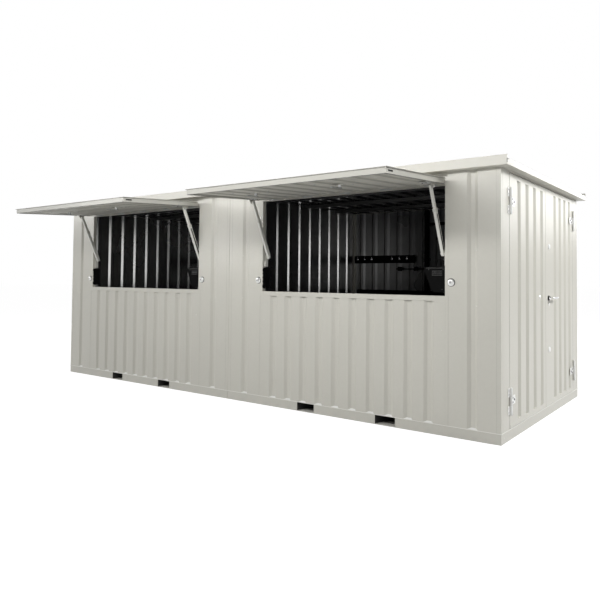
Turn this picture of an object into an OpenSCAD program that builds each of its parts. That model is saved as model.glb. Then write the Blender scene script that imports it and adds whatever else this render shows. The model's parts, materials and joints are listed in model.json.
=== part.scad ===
// Container bar: two equal sheet-steel modules bolted end to end, each with a
// serving hatch in the long front, and a double door in the right end wall.
// Millimetres, +Z up. The origin is the middle of the footprint, on the ground.
// +X runs towards the door end, -Y is the serving front.

/* [Modules] */
// Length of one module
module_l = 3030; // [2700:10:4000]
// Width of the building over its wall faces
depth = 2440; // [2200:10:3000]
// Height of the wall tops above the ground
wall_top = 2210; // [2190:5:2600]
// Joint between the two modules
seam = 4; // [2:1:12]

/* [Base frame] */
// Height of the base rails, and of the floor
rail_h = 90; // [85:1:140]
// Width of a rail's flanges
rail_w = 40; // [30:1:70]
// Thickness of the rail steel
rail_t = 4; // [3:0.5:6]
// Width of a fork pocket
pocket_w = 207; // [180:1:260]
// Distance of a fork pocket from the middle of its module
pocket_x = 450; // [350:5:560]
// Thickness of the floor plate
floor_t = 4; // [4:1:14]

/* [Sheet walls] */
// Thickness of the pressed sheets
sheet = 3; // [2:0.5:4]
// Width of a pressed groove at the face
groove_w = 90; // [60:1:110]
// Width of a groove's floor
groove_floor = 36; // [20:1:58]
// Depth of a groove
groove_d = 18; // [8:1:26]
// Spacing of the grooves under a window and in the rear walls
groove_pitch = 195; // [150:1:240]
// Spacing of the grooves in the end walls
end_pitch = 210; // [160:1:230]
// Distance of a front corner groove from the end of its module
corner_groove = 241; // [120:1:330]
// Width of a corner post's legs
post_w = 38; // [24:1:60]
// Thickness of the post steel
post_t = 4; // [3:0.5:8]

/* [Windows] */
// Clear width of a serving window
win_w = 2060; // [1200:10:2100]
// Height of a serving window
win_h = 934; // [700:1:1200]
// Distance of the window head below the wall top
head_drop = 110; // [105:1:300]
// Depth of the window frame through the wall
frame_d = 40; // [36:1:70]
// Thickness of the window frame
frame_t = 3; // [2:0.5:5]
// Width of the frame's side flanges on the wall face
flange_w = 28; // [15:1:40]
// Height of the flat sill strip on the wall face
strip_h = 45; // [25:1:80]
// How far the flanges and the strip stand proud
flange_t = 2; // [1:0.5:3]

/* [Hatches] */
// How far a hatch reaches past the clear window at each side
hatch_lap = 15; // [8:1:20]
// Length of a hatch from its hinge axis to its free edge
hatch_l = 975; // [970:1:1050]
// Thickness of a hatch
hatch_t = 44; // [40:1:60]
// Width of the bars round a hatch
rim_w = 30; // [20:1:45]
// Droop of an open hatch below the horizontal, in degrees
hatch_droop = 3.2; // [0:0.1:8]
// Depth of the pressed ribs in the hatch sheet
hatch_rib = 10; // [6:1:38]
// Distance of the hinge axis in front of the wall
hinge_out = 32; // [32:1:45]
// Height of the hinge axis above the window head
hinge_up = 30; // [26:1:40]
// Radius of a hinge knuckle
knuckle_r = 7; // [6:0.5:8]
// Radius of the hinge pins
hinge_pin_r = 3; // [2:0.5:4]
// Number of hinges on a hatch
hinge_n = 5; // [3:1:7]

/* [Stays] */
// Distance of a stay's middle from the clear window edge
stay_in = 40; // [38:1:60]
// Width of a stay tube
tube_w = 26; // [20:1:28]
// Depth of a stay tube
tube_d = 34; // [20:1:38]
// Wall of a stay tube
tube_t = 2.5; // [1.5:0.5:3]
// Length of a stay tube above its pivot
tube_l = 400; // [300:5:410]
// Play between a rod and its tube, each side
rod_play = 0.6; // [0.3:0.1:1]
// Height of the lower pivot above the sill
pivot_up = 359; // [300:1:420]
// Distance of the lower pivot behind the wall face
pivot_in = 47; // [40:1:60]
// Distance of the upper pivot from the hinge axis along the hatch
lug_along = 162; // [140:1:200]
// Distance of the upper pivot below the middle of the hatch
lug_down = 54; // [46:1:70]
// Radius of the pivot bolts
bolt_r = 5; // [4:0.5:6]

/* [Fittings] */
// Radius of a latch knob
knob_r = 31; // [20:1:34]
// Distance of a latch knob from the clear window edge
knob_out = 56; // [54:1:80]
// Height of the latch knobs above the sill
knob_up = 114; // [80:1:200]
// Width of a lock box in the window corner, at its top
box_w = 200; // [120:5:260]
// Height of a lock box
box_h = 215; // [120:5:240]
// Depth of a lock box
box_d = 82; // [50:1:120]
// Height of the hook rail's middle on the rear wall
hook_z = 1568; // [1300:1:1800]
// Length of the hook rail
hook_rail_l = 950; // [600:10:1400]

/* [Door] */
// Width of the fixed jamb from the corner post to the door gap
jamb_w = 157; // [120:1:200]
// Gap round the door leaves
door_gap = 6; // [5:0.5:9]
// Distance of the meeting joint in front of the middle of the end wall
meeting_off = 0; // [-200:5:200]
// Thickness of a door leaf and of its frame
leaf_t = 40; // [36:1:60]
// Distance of the door head below the wall top
door_drop = 12; // [10:1:200]
// Distance of a door hinge axis in front of the end wall
door_hinge_out = 14; // [13:1:24]
// Height of one door hinge
door_hinge_h = 214; // [160:2:260]
// Height of the handle
handle_z = 1130; // [900:5:1300]

/* [Roof] */
// Height of the roof edge
fascia_h = 80; // [60:1:120]
// How far the roof edge stands out past the walls
fascia_out = 82; // [60:1:120]
// Height of the upturned lip at the ends
lip_h = 50; // [30:1:60]
// Thickness of the edge steel
fascia_t = 3; // [2:0.5:5]
// Depth of the roof ribs
roof_rib = 25; // [15:1:35]

/* [Hidden] */

half_l = module_l;
half_d = depth / 2;
front_y = -half_d;
rear_y = half_d;
module_mid = (module_l + seam / 2) / 2;
body_l = module_l - seam / 2;
head_z = wall_top - head_drop;
sill_z = head_z - win_h;
door_head = wall_top - door_drop;
roof_z = wall_top;
roof_t = 2;
win_half = win_w / 2;
rough_half = win_half + frame_t;
axis_y = front_y - hinge_out;
axis_z = head_z + hinge_up;
hatch_half = win_half + hatch_lap;

white = "#c9c7bb";
shade = "#a9a89c";
steel = "#b9bcbe";
dark = "#1d1d1b";
bright = "#e6e6e2";

// Middle of the left or right module along X
function mid_x(side) = side * module_mid;
// Evenly spaced values about a middle
function spread(n, pitch, mid = 0) = [for (i = [0 : n - 1]) mid + (i - (n - 1) / 2) * pitch];
// Evenly spaced values from a first to a last
function evenly(n, lo, hi) = [for (i = [0 : n - 1]) lo + (hi - lo) * i / (n - 1)];
// How many grooves fit in a length with a margin at both ends
function fitting(len, pitch, margin) = max(1, floor((len - 2 * margin) / pitch) + 1);
// Points on an arc in the plane
function arc(c, r, a0, a1, n = 6) =
    [for (i = [0 : n]) c + r * [cos(a0 + (a1 - a0) * i / n), sin(a0 + (a1 - a0) * i / n)]];

// Outline of a pressed sheet: its face on y = 0, grooves pressed towards +y
function face_path(len, centres, w, f, d) = concat(
    [[0, 0]],
    [for (c = centres) each [[c - w / 2, 0], [c - f / 2, d], [c + f / 2, d], [c + w / 2, 0]]],
    [[len, 0]]);
function back_path(path, t) = [for (i = [len(path) - 1 : -1 : 0]) path[i] + [0, t]];

module pressed_sheet(len, height, centres, w = groove_w, f = groove_floor, d = groove_d, t = sheet) {
    path = face_path(len, centres, w, f, d);
    linear_extrude(height) polygon(concat(path, back_path(path, t)));
}

// A box from its lowest to its highest corner
module block(lo, hi) {
    translate(lo) cube(hi - lo);
}

module both_modules() {
    for (side = [-1, 1]) translate([mid_x(side), 0, 0]) children();
}

// Rod along X
module x_rod(x0, x1, y, z, r) {
    translate([x0, y, z]) rotate([0, 90, 0]) cylinder(h = x1 - x0, r = r, $fn = 48);
}

// ---------- base frame ----------

tunnel_t = 3;
pocket_top = rail_h - floor_t - tunnel_t;

// C-section rail along the front of one module, its web on the outside
module long_rail(side) {
    x0 = min(side * seam / 2, side * (half_l - rail_t));
    x1 = max(side * seam / 2, side * (half_l - rail_t));
    c_shape = [[0, 0], [rail_w, 0], [rail_w, rail_t], [rail_t, rail_t],
               [rail_t, rail_h - rail_t], [rail_w, rail_h - rail_t], [rail_w, rail_h], [0, rail_h]];
    difference() {
        translate([x0, front_y, 0]) rotate([90, 0, 90]) linear_extrude(x1 - x0) polygon(c_shape);
        for (px = [-pocket_x, pocket_x])
            block([mid_x(side) + px - pocket_w / 2, front_y - 1, rail_t],
                  [mid_x(side) + px + pocket_w / 2, front_y + rail_t + 1, pocket_top]);
    }
}

module long_rails() {
    color(white)
    for (side = [-1, 1], rear = [0, 1]) mirror([0, rear, 0]) long_rail(side);
}

// End rail across the building, its web on the outside
module end_rail(outside) {
    flange_y = half_d - rail_w;
    web_y = outside ? half_d : flange_y;
    block([-rail_t, -web_y, 0], [0, web_y, rail_h]);
    for (z = [0, rail_h - rail_t])
        block([-rail_w, -flange_y, z], [-rail_t, flange_y, z + rail_t]);
}

module end_rails() {
    color(white) {
        translate([half_l, 0, 0]) end_rail(true);
        mirror([1, 0, 0]) translate([half_l, 0, 0]) end_rail(true);
        translate([-seam / 2, 0, 0]) end_rail(false);
        mirror([1, 0, 0]) translate([-seam / 2, 0, 0]) end_rail(false);
    }
}

module floor_plates() {
    side_x = body_l / 2 - rail_w;
    end_y = half_d - rail_w;
    color(dark)
    both_modules()
        block([-side_x, -end_y, rail_h - floor_t], [side_x, end_y, rail_h]);
}

// Closed fork tunnels and joists between the rails of a module
module floor_joists() {
    end_y = half_d - rail_w;
    web_y = half_d - rail_t;
    top = rail_h - floor_t;
    joist_w = 50;
    color(shade)
    both_modules() {
        for (px = [-pocket_x, pocket_x]) {
            x0 = px - pocket_w / 2 - tunnel_t;
            x1 = px + pocket_w / 2;
            for (x = [x0, x1])
                block([x, -web_y, rail_t], [x + tunnel_t, web_y, pocket_top]);
            block([x0, -end_y, 0], [x1 + tunnel_t, end_y, rail_t]);
            block([x0, -end_y, pocket_top], [x1 + tunnel_t, end_y, top]);
        }
        for (jx = [-1, 0, 1])
            block([jx * 2 * pocket_x - joist_w / 2, -end_y, rail_t], [jx * 2 * pocket_x + joist_w / 2, end_y, top]);
    }
}

// ---------- walls ----------

// Folded corner post, its outer corner at the origin, legs towards +x and +y
module corner_post() {
    linear_extrude(wall_top - rail_h)
        polygon([[0, 0], [post_w, 0], [post_w, post_t], [post_t, post_t], [post_t, post_w], [0, post_w]]);
}

module corner_posts() {
    color(white)
    for (sx = [-1, 1], sy = [-1, 1], end = [-1, 1])
        translate([mid_x(sx), 0, rail_h])
            mirror([end > 0 ? 1 : 0, 0, 0]) mirror([0, sy > 0 ? 1 : 0, 0])
                translate([-body_l / 2, -half_d, 0]) corner_post();
}

// Sealing strips in the joint between the modules: up both faces and under the floor
module seam_strips() {
    set_back = 3;
    color(shade) {
        for (rear = [0, 1]) mirror([0, rear, 0])
            block([-seam / 2, front_y + set_back, 0], [seam / 2, front_y + post_w, wall_top]);
        block([-seam / 2, front_y + set_back, 0], [seam / 2, rear_y - set_back, rail_h]);
    }
}

// Wall sheets from the corner posts to the window frame
module front_sides() {
    panel_l = body_l / 2 - rough_half - post_w;
    color(white)
    both_modules() for (s = [0, 1]) mirror([s, 0, 0])
        translate([-body_l / 2 + post_w, front_y, rail_h])
            pressed_sheet(panel_l, wall_top - rail_h, [corner_groove - post_w]);
}

// Wall sheet under the window
module front_apron(side) {
    apron_l = 2 * rough_half;
    n = fitting(apron_l, groove_pitch, groove_w);
    color(white)
    translate([mid_x(side) - rough_half, front_y, rail_h])
        pressed_sheet(apron_l, sill_z - frame_t - rail_h, spread(n, groove_pitch, rough_half));
}
module front_apron_left() { front_apron(-1); }
module front_apron_right() { front_apron(1); }

// Folded header over each window
module front_headers() {
    color(white)
    both_modules()
        block([-rough_half, front_y, head_z + frame_t], [rough_half, front_y + sheet, wall_top]);
}

// Liner of the opening with its flat flanges and sill strip on the face
module window_frame(side) {
    color(white)
    translate([mid_x(side), 0, 0])
    difference() {
        union() {
            block([-rough_half, front_y, sill_z - frame_t], [rough_half, front_y + frame_d, head_z + frame_t]);
            block([-win_half - flange_w, front_y - flange_t, sill_z - strip_h],
                  [win_half + flange_w, front_y, head_z + frame_t]);
        }
        block([-win_half, front_y - flange_t - 1, sill_z], [win_half, front_y + frame_d + 1, head_z]);
    }
}
module window_frame_left() { window_frame(-1); }
module window_frame_right() { window_frame(1); }

module rear_wall(side) {
    wall_l = body_l - 2 * post_w;
    n = fitting(wall_l, groove_pitch, groove_w);
    color(white)
    translate([mid_x(side) + wall_l / 2, rear_y, rail_h]) rotate([0, 0, 180])
        pressed_sheet(wall_l, wall_top - rail_h, spread(n, groove_pitch, wall_l / 2));
}
module rear_wall_left() { rear_wall(-1); }
module rear_wall_right() { rear_wall(1); }

// Cross wall whose grooves stand into the room on its +X side
module cross_wall(x, w, f) {
    wall_l = depth - 2 * post_w;
    n = fitting(wall_l, end_pitch, w);
    color(white)
    translate([x, half_d - post_w, rail_h]) rotate([0, 0, -90])
        pressed_sheet(wall_l, wall_top - rail_h, spread(n, end_pitch, wall_l / 2), w, f);
}
module left_end_wall() { cross_wall(-half_l, groove_w, groove_floor); }
// The middle wall's ribs have steeper sides
module middle_wall() {
    steep_w = 84;
    steep_floor = 56;
    cross_wall(seam / 2, steep_w, steep_floor);
}

// ---------- roof ----------

// Roof sheet with its ribs standing up, laid in the edge channels
module roof(side) {
    end_play = 1;
    inner = min(side * seam / 2, side * (half_l + fascia_out - fascia_t - end_play));
    outer = max(side * seam / 2, side * (half_l + fascia_out - fascia_t - end_play));
    deck_y = half_d + fascia_out - fascia_t - end_play;
    n = fitting(outer - inner, groove_pitch, groove_w);
    color(shade)
    translate([inner, deck_y, roof_z + fascia_t]) rotate([90, 0, 0])
        pressed_sheet(outer - inner, 2 * deck_y, spread(n, groove_pitch, (outer - inner) / 2),
                      d = roof_rib, t = roof_t);
}
module roof_left() { roof(-1); }
module roof_right() { roof(1); }

// Edge channel along X: sits on the wall, stands out past it and turns back at the top
module fascia(side) {
    inner = min(side * seam / 2, side * (half_l + fascia_out - fascia_t));
    outer = max(side * seam / 2, side * (half_l + fascia_out - fascia_t));
    lip = 24;
    out = -fascia_out;
    edge = [[rail_w, 0], [out, 0], [out, fascia_h], [out + lip, fascia_h], [out + lip, fascia_h - fascia_t],
            [out + fascia_t, fascia_h - fascia_t], [out + fascia_t, fascia_t], [rail_w, fascia_t]];
    translate([inner, front_y, roof_z]) rotate([90, 0, 90]) linear_extrude(outer - inner) polygon(edge);
}
module front_fascia_left() { color(white) fascia(-1); }
module front_fascia_right() { color(white) fascia(1); }
module rear_fascia() {
    color(white) mirror([0, 1, 0]) for (side = [-1, 1]) fascia(side);
}

// Soffit and upturned lip over each end wall
module end_flanges() {
    span = half_d - rail_w;
    lip_span = half_d + fascia_out;
    color(white)
    for (s = [0, 1]) mirror([s, 0, 0]) {
        block([half_l - rail_w, -span, roof_z], [half_l + fascia_out, span, roof_z + fascia_t]);
        block([half_l + fascia_out - fascia_t, -lip_span, roof_z], [half_l + fascia_out, lip_span, roof_z + lip_h]);
    }
}

// Small sloping rain strip over each hatch
module drip_strips() {
    strip_out = 46;
    drop = 12;
    t = 2;
    strip_top = wall_top - 12;
    strip = [[0, strip_top], [0, strip_top - 22], [-t, strip_top - 22], [-t, strip_top - t],
             [-strip_out, strip_top - drop - t], [-strip_out, strip_top - drop]];
    color(bright)
    both_modules()
        translate([-hatch_half, front_y, 0]) rotate([90, 0, 90]) linear_extrude(2 * hatch_half) polygon(strip);
}

// ---------- hatches ----------

knuckle_l = 60;
fixed_knuckle_l = 30;
hinge_gap = 1;
hinge_from_end = 150;
hinge_pitch = 2 * (hatch_half - hinge_from_end) / (hinge_n - 1);

// Fixed halves of the hatch hinges on the headers, with their pins
module hatch_hinges() {
    half = knuckle_l / 2 + hinge_gap;
    leaf_h = 24;
    web = 3;
    color(steel)
    both_modules() for (hx = spread(hinge_n, hinge_pitch)) {
        block([hx - half - fixed_knuckle_l, front_y - web, head_z + frame_t],
              [hx + half + fixed_knuckle_l, front_y, axis_z + leaf_h]);
        for (s = [-1, 1]) {
            x0 = min(hx + s * half, hx + s * (half + fixed_knuckle_l));
            x_rod(x0, x0 + fixed_knuckle_l, axis_y, axis_z, knuckle_r);
            block([x0, axis_y, axis_z - web], [x0 + fixed_knuckle_l, front_y, axis_z + web]);
        }
        x_rod(hx - half - fixed_knuckle_l, hx + half + fixed_knuckle_l, axis_y, axis_z, hinge_pin_r);
    }
}

// Places a shape drawn about the hinge axis, level, at the open hatch's angle
module on_hatch(side) {
    translate([mid_x(side), axis_y, axis_z]) rotate([hatch_droop, 0, 0]) children();
}

rim_back = -9;
pin_play = 0.5;

// Bars round the hatch, its moving knuckles and the lugs for the stays
module hatch_frame(side) {
    slot_l = 70;
    slot_h = 14;
    slot_in = 30;
    slot_d = 12;
    lug_t = 3;
    lug_x = win_half - stay_in + tube_w / 2 + 8;
    foot = 22;
    eye_gap = 1;
    nut_t = 5;
    color(white)
    on_hatch(side) difference() {
        union() {
            difference() {
                block([-hatch_half, -hatch_l, -hatch_t / 2], [hatch_half, rim_back, hatch_t / 2]);
                block([-hatch_half + rim_w, -hatch_l + rim_w, -hatch_t],
                      [hatch_half - rim_w, rim_back - rim_w, hatch_t]);
                for (s = [-1, 1])
                    block([s * hatch_half - slot_d, -hatch_l + slot_in, -slot_h / 2],
                          [s * hatch_half + slot_d, -hatch_l + slot_in + slot_l, slot_h / 2]);
            }
            for (hx = spread(hinge_n, hinge_pitch)) {
                x_rod(hx - knuckle_l / 2, hx + knuckle_l / 2, 0, 0, knuckle_r);
                block([hx - knuckle_l / 2, rim_back - 1, -3], [hx + knuckle_l / 2, 0, 3]);
            }
            for (s = [0, 1]) mirror([s, 0, 0]) {
                block([lug_x, -lug_along - 2 * foot, -hatch_t / 2 - lug_t],
                      [hatch_half - 5, -lug_along + 2 * foot, -hatch_t / 2]);
                translate([lug_x, 0, 0]) rotate([90, 0, 90]) linear_extrude(lug_t)
                    polygon([[-lug_along - 2 * foot, -hatch_t / 2], [-lug_along - foot / 2, -lug_down - foot / 2],
                             [-lug_along + foot / 2, -lug_down - foot / 2], [-lug_along + 2 * foot, -hatch_t / 2]]);
                x_rod(win_half - stay_in + rod_w / 2 + eye_gap, lug_x + lug_t, -lug_along, -lug_down, bolt_r);
                x_rod(lug_x + lug_t, lug_x + lug_t + nut_t, -lug_along, -lug_down, 2 * bolt_r);
            }
        }
        for (hx = spread(hinge_n, hinge_pitch))
            x_rod(hx - knuckle_l / 2 - 1, hx + knuckle_l / 2 + 1, 0, 0, hinge_pin_r + pin_play);
    }
}
module hatch_frame_left() { hatch_frame(-1); }
module hatch_frame_right() { hatch_frame(1); }

// Pressed sheet inside the bars, its ribs standing down
module hatch_sheet(side) {
    len = 2 * (hatch_half - rim_w);
    height = hatch_l + rim_back - 2 * rim_w;
    n = fitting(len, groove_pitch, groove_w);
    face = hatch_rib + sheet - hatch_t / 2 + 1;
    rib_w = 100;
    rib_floor = 64;
    color(shade)
    on_hatch(side)
        translate([-len / 2, -hatch_l + rim_w, face]) mirror([0, 0, 1]) mirror([0, 1, 0]) rotate([90, 0, 0])
            pressed_sheet(len, height, spread(n, groove_pitch, len / 2), w = rib_w, f = rib_floor, d = hatch_rib);
}
module hatch_sheet_left() { hatch_sheet(-1); }
module hatch_sheet_right() { hatch_sheet(1); }

// ---------- stays ----------

pivot_y = front_y + pivot_in;
pivot_z = sill_z + pivot_up;
// Upper pivot of an open hatch, relative to the hinge axis
lug_y = -lug_along * cos(hatch_droop) + lug_down * sin(hatch_droop);
lug_z = -lug_along * sin(hatch_droop) - lug_down * cos(hatch_droop);
stay_dy = axis_y + lug_y - pivot_y;
stay_dz = axis_z + lug_z - pivot_z;
stay_l = sqrt(stay_dy * stay_dy + stay_dz * stay_dz);
stay_angle = atan2(-stay_dy, stay_dz);
stay_x = win_half - stay_in;
rod_w = tube_w - 2 * (tube_t + rod_play);
rod_d = tube_d - 2 * (tube_t + rod_play);
end_r = rod_d / 2 + 2;

// Places a shape drawn upright on the lower pivot along both open stays
module on_stays(side) {
    translate([mid_x(side), pivot_y, pivot_z]) for (s = [-1, 1])
        translate([s * stay_x, 0, 0]) rotate([stay_angle, 0, 0]) children();
}

module stay_tubes(side) {
    below = 18;
    color(steel)
    on_stays(side) difference() {
        block([-tube_w / 2, -tube_d / 2, -below], [tube_w / 2, tube_d / 2, tube_l]);
        block([-tube_w / 2 + tube_t, -tube_d / 2 + tube_t, -below - 1],
              [tube_w / 2 - tube_t, tube_d / 2 - tube_t, tube_l + 1]);
        x_rod(-tube_w, tube_w, 0, 0, bolt_r + pin_play);
    }
}
module stay_tubes_left() { stay_tubes(-1); }
module stay_tubes_right() { stay_tubes(1); }

module stay_rods(side) {
    past_tube = 10;
    rod_l = tube_l + past_tube;
    color(bright)
    on_stays(side) {
        block([-rod_w / 2, -rod_d / 2, stay_l - rod_l], [rod_w / 2, rod_d / 2, stay_l]);
        x_rod(-rod_w / 2, rod_w / 2, 0, stay_l, end_r);
    }
}
module stay_rods_left() { stay_rods(-1); }
module stay_rods_right() { stay_rods(1); }

// Plates on the window frames that carry the lower pivots
module stay_brackets() {
    plate_t = 3;
    side_gap = 12;
    bolt_gap = 1;
    bolt_head = 5;
    plate_front = front_y + 24;
    plate_rear = pivot_y + 17;
    plate_top = pivot_z + 20;
    foot_up = 256;
    foot_d = 10;
    foot_h = 60;
    near_x = stay_x - tube_w / 2 - bolt_gap;
    far_x = stay_x + tube_w / 2 + bolt_gap;
    plate_x = stay_x + tube_w / 2 + side_gap;
    plate_lo = sill_z + foot_up;
    color(white)
    both_modules() for (s = [0, 1]) mirror([s, 0, 0]) {
        block([plate_x, plate_front, plate_lo], [plate_x + plate_t, plate_rear, plate_top]);
        block([plate_x + plate_t, plate_front, plate_lo], [win_half, plate_front + foot_d, plate_lo + foot_h]);
        x_rod(near_x, plate_x, pivot_y, pivot_z, bolt_r);
        x_rod(far_x, plate_x, pivot_y, pivot_z, 2 * bolt_r);
        x_rod(near_x - bolt_head, near_x, pivot_y, pivot_z, 2 * bolt_r);
    }
}

// ---------- fittings ----------

// Round latch covers beside the windows, each on a narrower collar
module latch_knobs() {
    collar_r = knob_r - 9;
    collar_h = 4;
    rim_h = 7;
    dome_h = 20;
    color(bright)
    both_modules() for (s = [-1, 1])
        translate([s * (win_half + knob_out), front_y, sill_z + knob_up]) rotate([90, 0, 0])
            rotate_extrude($fn = 64)
                polygon([[0, 0], [collar_r, 0], [collar_r, collar_h], [knob_r, collar_h], [knob_r, rim_h],
                         [collar_r + 2, rim_h + 4], [collar_r, dome_h - 2], [0, dome_h]]);
}

// Black lock box in one lower corner of each window, and a slim catch plate in the other
module lock_boxes() {
    round_r = 26;
    slant = 70;
    back = 8;
    box_lo = sill_z + 30;
    catch_t = 14;
    corner = [
        each arc([-box_w + round_r, box_h - round_r], round_r, 180 + 14, 90),
        [0, box_h], [0, 0],
        each arc([-box_w + slant + round_r, round_r], round_r, 270, 180 + 14)
    ];
    color(dark)
    both_modules() {
        translate([win_half, front_y + back + box_d, box_lo]) rotate([90, 0, 0])
            linear_extrude(box_d) polygon(corner);
        block([-win_half, front_y + back, box_lo], [-win_half + catch_t, front_y + back + box_d, box_lo + box_h]);
    }
}

// Board with two groups of coat hooks on each rear wall
module hook_rails() {
    board_t = 18;
    board_h = 104;
    hook_l = 40;
    hook_r = 12;
    hook_pitch = 114;
    board_y = rear_y - sheet - groove_d;
    start = -body_l / 2 + 34;
    color(dark)
    both_modules() {
        block([start, board_y - board_t, hook_z - board_h / 2], [start + hook_rail_l, board_y, hook_z + board_h / 2]);
        for (group = [0.21, 0.79], k = [-1, 0, 1])
            translate([start + group * hook_rail_l + k * hook_pitch, board_y - board_t, hook_z]) rotate([90, 0, 0])
                cylinder(h = hook_l, r = hook_r, $fn = 32);
    }
}

// ---------- door ----------

leaf_lo = rail_h + 7;
leaf_hi = door_head - door_gap;
opening_lo = front_y + post_w + jamb_w;
opening_hi = rear_y - post_w - jamb_w;
meeting = -meeting_off;

module door_jambs() {
    wall = 3;
    color(white)
    for (s = [0, 1]) mirror([0, s, 0])
        difference() {
            block([half_l - leaf_t, front_y + post_w, rail_h], [half_l, opening_lo, wall_top]);
            block([half_l - leaf_t + wall, front_y + post_w + wall, rail_h + wall],
                  [half_l - wall, opening_lo - wall, wall_top - wall]);
        }
}

module door_header() {
    color(white)
    block([half_l - leaf_t, opening_lo, door_head], [half_l, opening_hi, wall_top]);
}

// Door leaf between two places across the building, its grooves closed at top and bottom
module door_leaf(y0, y1, centres) {
    bar = 30;
    cap_h = 42;
    inner = half_l - leaf_t;
    behind = half_l - groove_d - sheet;
    groove_lo = leaf_lo + cap_h;
    groove_hi = leaf_hi - cap_h;
    color(white) {
        translate([half_l, y0, groove_lo]) rotate([0, 0, 90])
            pressed_sheet(y1 - y0, groove_hi - groove_lo, centres);
        for (z = [leaf_lo, groove_hi])
            block([half_l - sheet, y0, z], [half_l, y1, z + cap_h]);
        for (z = [groove_lo - sheet, groove_hi])
            block([behind, y0, z], [half_l, y1, z + sheet]);
        for (y = [y0, y1 - bar])
            block([inner, y, leaf_lo], [half_l - sheet, y + bar, leaf_hi]);
        for (z = [leaf_lo, (leaf_lo + leaf_hi - bar) / 2, leaf_hi - bar])
            block([inner, y0, z], [behind, y1, z + bar]);
    }
}

meeting_gap = 8;
leaf_a_lo = opening_lo + door_gap;
leaf_a_hi = meeting - meeting_gap / 2;
leaf_b_lo = meeting + meeting_gap / 2;
leaf_b_hi = opening_hi - door_gap;
leaf_grooves = 4;

module door_leaf_front() {
    first = 239;
    last = 121;
    door_leaf(leaf_a_lo, leaf_a_hi, evenly(leaf_grooves, first, leaf_a_hi - leaf_a_lo - last));
}
module door_leaf_rear() {
    first = 320;
    last = 134;
    door_leaf(leaf_b_lo, leaf_b_hi, evenly(leaf_grooves, first, leaf_b_hi - leaf_b_lo - last));
}

hinge_foot = 113;
hinge_head = 130;
hinge_lift = [hinge_foot, leaf_hi - leaf_lo - hinge_head - door_hinge_h];
hinge_x = half_l + door_hinge_out;
barrel_r = 11;
door_pin_r = 3.5;
plate_t = 4;
barrel_play = 1;

// Barrel and plate of a door hinge about its axis, the plate towards +y
module hinge_plate(z0, z1, reach) {
    translate([0, 0, z0]) cylinder(h = z1 - z0, r = barrel_r, $fn = 48);
    block([-door_hinge_out, 0, z0], [-door_hinge_out + plate_t, reach, z1]);
    block([-door_hinge_out, 0, z0], [0, plate_t, z1]);
}

third = door_hinge_h / 3;

// Outer two barrels on the jamb, with the pin
module fixed_hinge() {
    reach = 46;
    mirror([0, 1, 0]) {
        hinge_plate(0, third - barrel_play, reach);
        hinge_plate(2 * third + barrel_play, door_hinge_h, reach);
    }
    cylinder(h = door_hinge_h, r = door_pin_r, $fn = 32);
}

// Middle barrel, with the strap on the leaf
module moving_hinge() {
    reach = 128;
    difference() {
        hinge_plate(third, 2 * third, reach);
        translate([0, 0, third - 1]) cylinder(h = third + 2, r = door_pin_r + pin_play, $fn = 32);
    }
}

module door_hinges() {
    color(bright)
    for (s = [0, 1], z = hinge_lift) mirror([0, s, 0])
        translate([hinge_x, opening_lo, leaf_lo + z]) fixed_hinge();
}

module hinge_straps_front() {
    color(bright)
    for (z = hinge_lift) translate([hinge_x, opening_lo, leaf_lo + z]) moving_hinge();
}

module hinge_straps_rear() {
    color(bright)
    for (z = hinge_lift) translate([hinge_x, opening_hi, leaf_lo + z]) mirror([0, 1, 0]) moving_hinge();
}

handle_y = leaf_b_lo + 86;
stem_r = 9;
rose_t = 9;

// Round plate on the rear leaf that the handle turns in
module handle_plate() {
    rose_r = 24;
    color(steel)
    translate([half_l, handle_y, handle_z]) rotate([0, 90, 0]) difference() {
        cylinder(h = rose_t, r = rose_r, $fn = 48);
        translate([0, 0, -1]) cylinder(h = rose_t + 2, r = stem_r + pin_play, $fn = 48);
    }
}

// Lever handle, its stem in the round plate
module door_handle() {
    stem_l = 52;
    lever_l = 160;
    lever_w = 20;
    lever_t = 12;
    color(bright)
    translate([half_l, handle_y, handle_z]) {
        translate([pin_play, 0, 0]) rotate([0, 90, 0]) cylinder(h = stem_l - pin_play, r = stem_r, $fn = 48);
        block([stem_l - lever_t, 0, -lever_w / 2], [stem_l, lever_l, lever_w / 2]);
        translate([stem_l - lever_t, 0, 0]) rotate([0, 90, 0]) cylinder(h = lever_t, r = lever_w / 2, $fn = 32);
    }
}

long_rails();
end_rails();
floor_plates();
floor_joists();
corner_posts();
seam_strips();
front_sides();
front_apron_left();
front_apron_right();
front_headers();
window_frame_left();
window_frame_right();
rear_wall_left();
rear_wall_right();
left_end_wall();
middle_wall();
roof_left();
roof_right();
front_fascia_left();
front_fascia_right();
rear_fascia();
end_flanges();
drip_strips();
hatch_hinges();
hatch_frame_left();
hatch_frame_right();
hatch_sheet_left();
hatch_sheet_right();
stay_tubes_left();
stay_tubes_right();
stay_rods_left();
stay_rods_right();
stay_brackets();
latch_knobs();
lock_boxes();
hook_rails();
door_jambs();
door_header();
door_leaf_front();
door_leaf_rear();
door_hinges();
hinge_straps_front();
hinge_straps_rear();
handle_plate();
door_handle();
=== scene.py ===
import json
import math
import bpy
import bmesh
from mathutils import Matrix, Vector


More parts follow.
